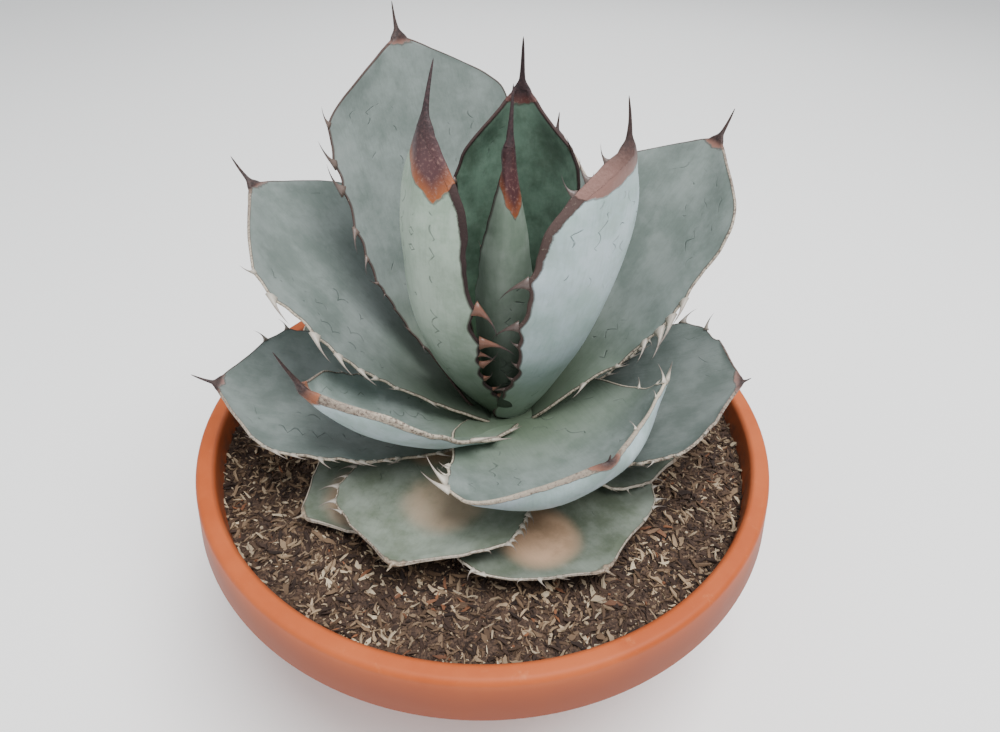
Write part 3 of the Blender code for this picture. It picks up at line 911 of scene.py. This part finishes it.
skinNames = {"heart": "young agave cuticle", "bloom": "waxy agave cuticle", "old": "old agave cuticle"}
leafMaterials = {kind: leafSkin(name, skins[kind]) for kind, name in skinNames.items()}
leaves = []
toothSeats = []
for number, (node, look) in enumerate(leafLooks.items()):
    leafShape, seats = growLeaf(node, look, number + 1)
    leaf = addPiece(leafShape.name, leafShape, leafMaterials[look["skin"]])
    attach(leaf, "root")
    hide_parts(node)
    leaves.append(leaf)
    toothSeats += seats
print("leaves: %d, with %d teeth" % (len(leaves), len(toothSeats)))


# Geometry Nodes

def nodeGroup(name, inputs):
    # a geometry group with named inputs, given as (name, kind, default)
    tree = bpy.data.node_groups.new(name, "GeometryNodeTree")
    tree.interface.new_socket("Geometry", in_out="INPUT", socket_type="NodeSocketGeometry")
    for label, kind, default in inputs:
        socket = tree.interface.new_socket(label, in_out="INPUT", socket_type="NodeSocket" + kind)
        if default is not None:
            socket.default_value = default
    tree.interface.new_socket("Geometry", in_out="OUTPUT", socket_type="NodeSocketGeometry")
    return tree, addNode(tree, "NodeGroupInput"), addNode(tree, "NodeGroupOutput")


def named(tree, name, kind="FLOAT"):
    return addNode(tree, "GeometryNodeInputNamedAttribute", {"Name": name}, data_type=kind).outputs[0]


def endGroup(tree, last, inward, outward):
    real = addNode(tree, "GeometryNodeRealizeInstances", {0: last.outputs[0]})
    paint = addNode(tree, "GeometryNodeSetMaterial", {
        "Geometry": real.outputs[0], "Material": inward.outputs["Material"]})
    plug(outward, {0: paint.outputs[0]})
    return tree


def growOn(piece, tree, values):
    # the group as a modifier, with its named inputs set
    modifier = piece.modifiers.new(tree.name, "NODES")
    modifier.node_group = tree
    for item in tree.interface.items_tree:
        if item.item_type == "SOCKET" and item.in_out == "INPUT" and item.name in values:
            modifier[item.identifier] = values[item.name]
    return plainMesh(piece, piece.name)


# Marginal teeth

teethSizes = {
    "sides": 7,
    "rings": 7,
    "hook": 0.55,
    "footWide": 0.19,
    "footThick": 0.07,
    "needle": 0.045,
}


def toothMesh():
    # a unit tooth up Z, hooked towards X: broad at its foot, drawn out to a needle
    verts, reach = [], []
    sides, rings, needle, hook = [teethSizes[n] for n in ("sides", "rings", "needle", "hook")]
    for i in range(rings):
        t = i / rings
        wide = teethSizes["footWide"] * (1 - t) ** 4.5 + needle * (1 - t) ** 0.6
        thick = teethSizes["footThick"] * (1 - t) ** 2.0 + needle * 0.7 * (1 - t) ** 0.6
        bend = hook * t ** 1.9
        for j in range(sides):
            a = 2 * math.pi * j / sides
            verts.append((bend + wide * math.cos(a), thick * math.sin(a), t - bend * 0.25))
            reach.append(t)
    verts += [(hook, 0.0, 1 - hook * 0.25), (0.0, 0.0, -0.02)]
    reach += [1.0, 0.0]
    tip, foot = len(verts) - 2, len(verts) - 1
    faces = lattice(rings, sides)
    for j in range(sides):
        k = (j + 1) % sides
        faces.append(((rings - 1) * sides + j, (rings - 1) * sides + k, tip))
        faces.append((k, j, foot))
    mesh = newMesh("tooth", verts, faces)
    setValues(mesh, "reach", reach)
    mesh.shade_smooth()
    return mesh


def hornMaterial():
    # agave horn: dark and a little glossy at the point, rusty or bleached grey lower down
    material, tree, shader = newMaterial("agave tooth horn")
    fine = grain(ownPlace(tree), 2 * mm, 3.0)
    reach, ember, pale = [attribute(tree, n) for n in ("reach", "ember", "pale")]
    foot = blend(pale, blend(ember, "3F2827", "7A4222"), "BDB6A8")
    point = blend(pale, "2C1D1E", "8D8279")
    colour = blend(ease(scaled(fine, 0.5, reach), 0.45, 0.95), foot, point)
    plug(shader, {"Base Color": colour, "Roughness": scaled(fine, 0.25, 0.32), "IOR": 1.54})
    return material


def teethTree():
    tree, inward, outward = nodeGroup("marginTeeth", [("Tooth", "Object", None), ("Thickness", "Float", 1.0),
                                                      ("Material", "Material", None)])
    tooth = addNode(tree, "GeometryNodeObjectInfo", {"Object": inward.outputs["Tooth"]})
    aim, along = [named(tree, n, "FLOAT_VECTOR") for n in ("aim", "along")]
    size = named(tree, "length")
    turn = addNode(tree, "FunctionNodeAxesToRotation", {0: aim, 1: along},
                   primary_axis="Z", secondary_axis="X")
    thick = times(size, inward.outputs["Thickness"])
    scale = addNode(tree, "ShaderNodeCombineXYZ", {0: size, 1: thick, 2: size})
    stand = addNode(tree, "GeometryNodeInstanceOnPoints", {
        "Points": inward.outputs["Geometry"], "Instance": tooth.outputs["Geometry"],
        "Rotation": turn.outputs[0], "Scale": scale.outputs[0]})
    return endGroup(tree, stand, inward, outward)


def plantTeeth(seats):
    tooth = addPiece("toothShape", toothMesh())
    mesh = newMesh("agaveTeeth", [tuple(s["place"]) for s in seats], [])
    for name in ("aim", "along"):
        values = np.array([s[name] for s in seats], dtype=np.float32).reshape(-1)
        mesh.attributes.new(name, "FLOAT_VECTOR", "POINT").data.foreach_set("vector", values)
    for name in ("length", "pale", "ember"):
        setValues(mesh, name, [float(s[name]) for s in seats])
    piece = addPiece("agaveTeeth", mesh)
    growOn(piece, teethTree(), {"Tooth": tooth, "Thickness": 1.0, "Material": hornMaterial()})
    bpy.data.objects.remove(tooth)
    piece.data.shade_smooth()
    return piece


agaveTeeth = plantTeeth(toothSeats)
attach(agaveTeeth, "root")
print("teeth: %d faces" % len(agaveTeeth.data.polygons))


# Crown: the short stem that the leaf bases clasp

crown = {
    "sink": 10 * mm,
    "radius": 21 * mm,
    "topRadius": 6 * mm,
    "height": 42 * mm,
    "rings": 30,
    "sides": 72,
    "ridges": 9,
}


def crownMaterial():
    # living agave stem: pale waxy green, mottled
    material, tree, shader = newMaterial("agave crown tissue")
    where = ownPlace(tree)
    cloud = grain(where, 9 * mm, 4.0)
    colour = blend(ease(cloud, 0.35, 0.65), "5E7A5A", "8FA184")
    plug(shader, {"Base Color": colour, "Roughness": scaled(cloud, 0.2, 0.45),
                  "Normal": relief(grain(where, 2 * mm, 4.0), 0.4, 0.5 * mm)})
    return material


def makeCrown():
    verts = []
    rings, sides = crown["rings"], crown["sides"]
    for i in range(rings + 1):
        t = i / rings
        height = soilTop - crown["sink"] + (crown["height"] + crown["sink"]) * t
        radius = crown["radius"] + (crown["topRadius"] - crown["radius"]) * max(t - 0.15, 0) / 0.85
        for j in range(sides):
            a = 2 * math.pi * j / sides
            out = radius * (1 + 0.06 * math.cos(crown["ridges"] * a + t * 7))
            verts.append((stemMiddle.x + out * math.cos(a), stemMiddle.y + out * math.sin(a), height))
    faces = lattice(rings + 1, sides)
    faces.append(tuple(range(sides - 1, -1, -1)))
    faces.append(tuple(rings * sides + j for j in range(sides)))
    mesh = newMesh("agaveCrown", verts, faces)
    mesh.shade_smooth()
    return addPiece("agaveCrown", mesh, crownMaterial())


crownPiece = makeCrown()
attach(crownPiece, "root")
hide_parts("stem")


# Soil: a lumpy bed strewn with bark chips and crumbs

soil = {
    "edgeDip": 3 * mm,
    "shoulder": 24 * mm,
    "gap": 0.3 * mm,
    "rings": 110,
    "sides": 260,
    "lumps": ((26 * mm, 2.2 * mm), (9 * mm, 1.4 * mm), (3.5 * mm, 0.7 * mm)),
    "underLeaf": 2.0 * mm,     # what the bed keeps clear below a leaf
    "mostRoom": 60 * mm,
    "chipsPerLayer": 6500,
    "chipLayers": 3,
    "chipLength": 4.6 * mm,
    "crumbs": 8500,
    "crumbSize": 1.3 * mm,
}


def leafShadow():
    # one search tree of every leaf, to know how much room is left above the soil
    verts, faces = [], []
    for leaf in leaves:
        start = len(verts)
        verts += [v.co.copy() for v in leaf.data.vertices]
        faces += [[start + i for i in p.vertices] for p in leaf.data.polygons]
    return BVHTree.FromPolygons(verts, faces)


def soilHeight(x, y):
    radius = math.hypot(x, y)
    wall = bowlRadius(soilTop, bowl["wall"]) - soil["gap"]
    dip = float(smoothStep((radius - wall + soil["shoulder"]) / soil["shoulder"]))
    height = soilTop - 1.5 * mm - soil["edgeDip"] * dip
    for size, rise in soil["lumps"]:
        height += rise * noise.noise(Vector((x / size, y / size, size * 900)))
    return height


def makeSoilBed(shadow):
    wall = bowlRadius(soilTop - soil["edgeDip"], bowl["wall"]) - soil["gap"]
    rings, sides = soil["rings"], soil["sides"]
    angles = [2 * math.pi * j / sides for j in range(sides)]
    sheet, room = [], []
    for i in range(1, rings + 1):
        radius = wall * (i / rings) ** 0.8
        for a in angles:
            x, y = radius * math.cos(a), radius * math.sin(a)
            height = soilHeight(x, y)
            hit = shadow.ray_cast(Vector((x, y, soilTop - 25 * mm)), Vector((0, 0, 1)))
            free = soil["mostRoom"] if hit[0] is None else hit[0].z - height
            if free < soil["underLeaf"]:
                height -= soil["underLeaf"] - free
                free = soil["underLeaf"]
            sheet.append((x, y, height))
            room.append(min(free, soil["mostRoom"]))
    middle = len(sheet)
    sheet.append((0.0, 0.0, soilHeight(0.0, 0.0)))
    room.append(0.0)
    topFaces = [(a, d, c, b) for a, b, c, d in lattice(rings, sides)]
    topFaces += [(middle, j, (j + 1) % sides) for j in range(sides)]
    top = newMesh("soilTopSheet", sheet, topFaces)
    setValues(top, "room", room)
    verts, faces = list(sheet), list(topFaces)
    last = range((rings - 1) * sides, rings * sides)
    for h in np.linspace(soilTop - soil["edgeDip"] - 4 * mm, bowl["floor"] + soil["gap"], 14):
        radius = bowlRadius(h, bowl["wall"]) - soil["gap"]
        ring = range(len(verts), len(verts) + sides)
        verts += [(radius * math.cos(a), radius * math.sin(a), h) for a in angles]
        faces += [(last[j - 1], ring[j - 1], ring[j], last[j]) for j in range(sides)]
        last = ring
    faces += [(len(verts), last[j], last[j - 1]) for j in range(sides)]
    verts.append((0.0, 0.0, h))
    mesh = newMesh("soilBed", verts, faces)
    mesh.shade_smooth()
    return mesh, top


def pottingMix(name, chips):
    # coarse potting mix: dark moist peat, brown composted bark, bleached splinters and a few
    # rusty ones
    material, tree, shader = newMaterial(name)
    where = ownPlace(tree)
    fine = grain(where, 1.2 * mm, 4.0, 0.7)
    broad = grain(where, 30 * mm, 3.0)
    if chips:
        ramp = addNode(tree, "ShaderNodeValToRGB", {0: attribute(tree, "tint")})
        stops = ((0.0, "1E1613"), (0.3, "3A2B23"), (0.52, "523F2F"), (0.7, "755F4A"), (0.84, "9C866C"),
                 (0.965, "C2B196"), (0.985, "6E4630"), (1.0, "84563A"))
        while len(ramp.color_ramp.elements) < len(stops):
            ramp.color_ramp.elements.new(0.5)
        for element, (place, code) in zip(ramp.color_ramp.elements, stops):
            element.position = place
            element.color = hexColour(code)
        colour = blend(ease(fine, 0.55, 0.85), ramp.outputs[0], "33261F")
        colour = blend(times(ease(broad, 0.62, 0.36), 0.45), colour, "3A2C25")
    else:
        colour = blend(ease(fine, 0.35, 0.7), "2A1F1A", "5A4638")
    plug(shader, {"Base Color": colour, "Roughness": 0.92, "IOR": 1.4,
                  "Normal": relief(fine, 0.7, 0.5 * mm)})
    return material


def chipShapes(kind, count, seed):
    # unit splinters along X, or unit crumbs
    rand = np.random.default_rng(seed)
    group = bpy.data.collections.new(kind)
    for number in range(count):
        shape = bmesh.new()
        if kind == "splinters":
            wide, thick, lean = rand.uniform(0.05, 0.14), rand.uniform(0.025, 0.06), rand.normal() * 0.10
            rows = []
            for i, x in enumerate((-0.5, -0.2, 0.18, 0.5)):
                taper = (0.35, 1.0, 0.9, 0.3)[i] * rand.uniform(0.7, 1.2)
                bow = lean * (1 - 4 * x * x)
                row = []
                for side, lift in ((-1, -1), (1, -1), (1, 1), (-1, 1)):
                    jitter = rand.normal(size=3) * 0.03
                    row.append(shape.verts.new((
                        x + jitter[0], side * wide * taper + bow + jitter[1],
                        lift * thick * taper + jitter[2] * 0.5 + bow * 0.5)))
                rows.append(row)
            for a, b in zip(rows, rows[1:]):
                for j in range(4):
                    k = (j + 1) % 4
                    shape.faces.new((a[j], a[k], b[k], b[j]))
            shape.faces.new(rows[0][::-1])
            shape.faces.new(rows[-1])
        else:
            bmesh.ops.create_icosphere(shape, subdivisions=1, radius=0.5)
            for v in shape.verts:
                v.co = Vector([c * rand.uniform(0.6, 1.3) for c in v.co])
                v.co.z *= 0.7
        bmesh.ops.recalc_face_normals(shape, faces=shape.faces)
        mesh = bpy.data.meshes.new(kind)
        shape.to_mesh(mesh)
        shape.free()
        group.objects.link(bpy.data.objects.new("%s%d" % (kind, number), mesh))
    return group


def strewTree(name):
    tree, inward, outward = nodeGroup(name, [
        ("Shapes", "Collection", None), ("Density", "Float", 1000.0), ("Size", "Float", 6 * mm),
        ("Smallest", "Float", 0.35), ("Largest", "Float", 1.6), ("Tilt", "Float", 0.5),
        ("Lift", "Float", 0.0), ("Seed", "Int", 1), ("Material", "Material", None)])
    ground, shapes, density, size, smallest, largest, tilt, lift, seed = [inward.outputs[n] for n in (
        "Geometry", "Shapes", "Density", "Size", "Smallest", "Largest", "Tilt", "Lift", "Seed")]
    scatter = addNode(tree, "GeometryNodeDistributePointsOnFaces", {
        "Mesh": ground, "Density": density, "Seed": seed})
    choice = addNode(tree, "GeometryNodeCollectionInfo", {
        "Collection": shapes, "Separate Children": True, "Reset Children": True})
    chance = addNode(tree, "FunctionNodeRandomValue", {2: 0.0, 3: 1.0, "Seed": seed}, data_type="FLOAT")
    skew = maths("POWER", chance.outputs[1], 1.7)
    wanted = times(scaled(skew, minus(largest, smallest), smallest), size)
    held = maths("MINIMUM", wanted, times(named(tree, "room"), 1.6))
    lower = times(tilt, -1.0)
    low = addNode(tree, "ShaderNodeCombineXYZ", {0: lower, 1: lower, 2: -3.1416})
    high = addNode(tree, "ShaderNodeCombineXYZ", {0: tilt, 1: tilt, 2: 3.1416})
    turn = addNode(tree, "FunctionNodeRandomValue", {0: low.outputs[0], 1: high.outputs[0], "Seed": seed},
                   data_type="FLOAT_VECTOR")
    strewn = addNode(tree, "GeometryNodeInstanceOnPoints", {
        "Points": scatter.outputs["Points"], "Instance": choice.outputs[0], "Pick Instance": True,
        "Rotation": turn.outputs[0], "Scale": held})
    rise = addNode(tree, "ShaderNodeCombineXYZ", {2: lift})
    raised = addNode(tree, "GeometryNodeTranslateInstances", {
        "Instances": strewn.outputs[0], "Translation": rise.outputs[0], "Local Space": False})
    tint = addNode(tree, "FunctionNodeRandomValue", {2: 0.0, 3: 1.0, "Seed": plus(seed, 9.0)},
                   data_type="FLOAT")
    keep = addNode(tree, "GeometryNodeStoreNamedAttribute", {
        "Geometry": raised.outputs[0], "Name": "tint", "Value": tint.outputs[1]},
        data_type="FLOAT", domain="INSTANCE")
    return endGroup(tree, keep, inward, outward)


bedMesh, topMesh = makeSoilBed(leafShadow())
bed = addPiece("soilBed", bedMesh, pottingMix("damp potting mix", False))
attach(bed, "root")
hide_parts("soil")
chipMaterial = pottingMix("composted bark chips", True)
splinters = chipShapes("splinters", 9, 3)
crumbs = chipShapes("crumbs", 5, 4)
topArea = math.pi * (bowlRadius(soilTop, bowl["wall"])) ** 2
strew = strewTree("strewnBark")
layers = [("barkChips%d" % (i + 1), splinters, soil["chipsPerLayer"], soil["chipLength"], 0.4, 2.3, 0.5,
           0.4 * mm * i, 11 + i) for i in range(soil["chipLayers"])]
layers.append(("soilCrumbs", crumbs, soil["crumbs"], soil["crumbSize"], 0.5, 2.2, 3.0, 0.2 * mm, 31))
for name, shapes, count, size, smallest, largest, tilt, lift, seed in layers:
    layer = addPiece(name, topMesh.copy())
    growOn(layer, strew, {
        "Shapes": shapes, "Density": count / topArea, "Size": size, "Smallest": smallest,
        "Largest": largest, "Tilt": tilt, "Lift": lift, "Seed": seed, "Material": chipMaterial})
    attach(layer, "root")
    print("%s: %d faces" % (name, len(layer.data.polygons)))
for group in (splinters, crumbs):
    for shape in list(group.objects):
        bpy.data.objects.remove(shape)
